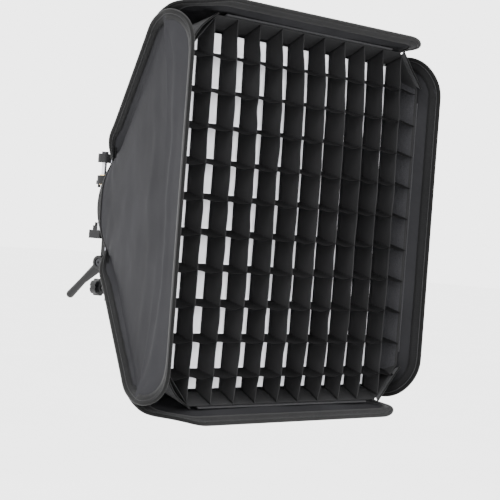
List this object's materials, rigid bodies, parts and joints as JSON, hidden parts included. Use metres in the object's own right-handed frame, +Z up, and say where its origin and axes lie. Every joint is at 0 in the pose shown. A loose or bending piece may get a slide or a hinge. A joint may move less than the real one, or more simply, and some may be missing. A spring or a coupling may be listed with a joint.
{
  "type": "square softbox with grid on tilt bracket",
  "caption": "Square collapsible softbox of four spring-hoop fabric panels with a fabric egg-crate grid over a white diffuser, on a tilting flash clamp bracket with a ratchet lever.",
  "frame": {"origin": "centre of the stand socket's mouth, at the bottom of the bracket", "axes": "+Z up along the stand; the light leaves along -Y; +Y is the bracket's rear; +X is to the right seen from behind the grid's front, facing +Y"},
  "size_m": [0.6094, 0.4687, 0.6094],
  "materials": {
    "outer_nylon": "matte woven nylon",
    "silver_lining": "crinkled silver coating",
    "spring_steel": "blued spring steel",
    "edge_tape": "woven edge tape",
    "gusset_cloth": "brushed loop cloth",
    "hook_and_loop": "fuzzy",
    "grid_cloth": "matte woven nylon",
    "diffuser_cloth": "translucent white nylon",
    "cast_aluminium": "machined",
    "black_steel": "black oxide",
    "bright_steel": "satin",
    "brass": "turned",
    "pad_rubber": "soft ribbed",
    "friction_material": "fibre",
    "black_plastic": "fine texture",
    "knob_plastic": "satin"
  },
  "bodies": {
    "stand_base": {"stand_socket": "black_plastic", "socket_bush": "bright_steel", "friction_washers": "friction_material"},
    "head": {"panel_top": "outer_nylon", "panel_right": "outer_nylon", "panel_bottom": "outer_nylon", "panel_left": "outer_nylon", "lining_top": "silver_lining", "lining_right": "silver_lining", "lining_bottom": "silver_lining", "lining_left": "silver_lining", "hoop_top": "spring_steel", "hoop_right": "spring_steel", "hoop_bottom": "spring_steel", "hoop_left": "spring_steel", "binding_top": "edge_tape", "binding_right": "edge_tape", "binding_bottom": "edge_tape", "binding_left": "edge_tape", "corner_gussets": "gusset_cloth", "hook_strips": "hook_and_loop", "rear_collar": "outer_nylon", "speed_ring": "cast_aluminium", "ring_clamp_plate": "black_steel", "ring_screws": "black_steel", "mount_ring": "black_plastic", "ring_bolts": "black_steel", "lock_cap": "bright_steel", "lock_spring": "spring_steel", "tilt_fork": "black_plastic", "clamp_base": "black_plastic", "base_screws": "black_steel", "guide_rods": "bright_steel", "lower_pad": "pad_rubber", "top_bridge": "black_plastic", "bridge_screws": "black_steel", "screw_nut": "brass", "pivot_bolt": "bright_steel"},
    "diffuser": {"front_diffuser": "diffuser_cloth", "diffuser_hem": "diffuser_cloth"},
    "grid": {"grid_verticals": "grid_cloth", "grid_horizontals": "grid_cloth", "grid_border": "grid_cloth"},
    "lock_plunger": {"lock_pin": "bright_steel", "lock_knob": "knob_plastic"},
    "jaw": {"upper_jaw": "black_plastic", "upper_pad": "pad_rubber", "jaw_bushes": "brass"},
    "clamp_spindle": {"clamp_screw": "bright_steel", "clamp_knob": "knob_plastic"},
    "lever_core": {"lever_insert": "bright_steel", "lever_screw": "black_steel", "lever_spring": "spring_steel"},
    "lever_grip": {"lever_handle": "knob_plastic"},
    "socket_pad": {"stand_pad": "brass"},
    "socket_spindle": {"stand_screw": "bright_steel", "stand_knob": "knob_plastic"},
    "umbrella_lock": {"umbrella_screw": "bright_steel", "umbrella_knob": "knob_plastic"}
  },
  "joints": [
    {"name": "head_tilt", "type": "hinge", "parent": "stand_base", "child": "head", "pos_m": [0, 0, 0.062], "axis": [-1, 0, 0], "range_deg": [-45, 70]},
    {"name": "lever_turn", "type": "hinge", "parent": "head", "child": "lever_core", "pos_m": [-0.03, 0, 0.062], "axis": [1, 0, 0], "range_deg": [0, 90]},
    {"name": "lever_pull", "type": "slide", "parent": "lever_core", "child": "lever_grip", "axis": [-1, 0, 0], "range_m": [0, 0.0035], "stiffness_N_per_m": 900, "springref_m": -0.003, "deforming": ["lever_spring"]},
    {"name": "clamp_knob_turn", "type": "hinge", "parent": "jaw", "child": "clamp_spindle", "pos_m": [0, 0, 0.2], "axis": [0, 0, 1], "range_deg": [-1981, 1171]},
    {"name": "jaw_slide", "type": "slide", "parent": "head", "child": "jaw", "axis": [0, 0, 1], "range_m": [-0.022, 0.013]},
    {"name": "lock_pull", "type": "slide", "parent": "head", "child": "lock_plunger", "axis": [0, 1, 0], "range_m": [0, 0.006], "stiffness_N_per_m": 500, "springref_m": -0.004, "deforming": ["lock_spring"]},
    {"name": "diffuser_pull", "type": "slide", "parent": "head", "child": "diffuser", "axis": [0, -1, 0], "range_m": [0, 0.12]},
    {"name": "grid_pull", "type": "slide", "parent": "diffuser", "child": "grid", "axis": [0, -1, 0], "range_m": [0, 0.12]},
    {"name": "stand_knob_turn", "type": "hinge", "parent": "socket_pad", "child": "socket_spindle", "pos_m": [0, 0.02, 0.02], "axis": [0, -1, 0], "range_deg": [0, 634]},
    {"name": "socket_pad_slide", "type": "slide", "parent": "stand_base", "child": "socket_pad", "axis": [0, -1, 0], "range_m": [0, 0.0022]},
    {"name": "umbrella_screw_turn", "type": "hinge", "parent": "head", "child": "umbrella_lock", "pos_m": [0.02, 0.005, 0.093], "axis": [1, 0, 0], "range_deg": [0, 360]}
  ],
  "couplings": [
    {"joint": "clamp_knob_turn", "follows": "jaw_slide", "rad_per_m": 1570.8},
    {"joint": "stand_knob_turn", "follows": "socket_pad_slide", "rad_per_m": 5026.5}
  ]
}
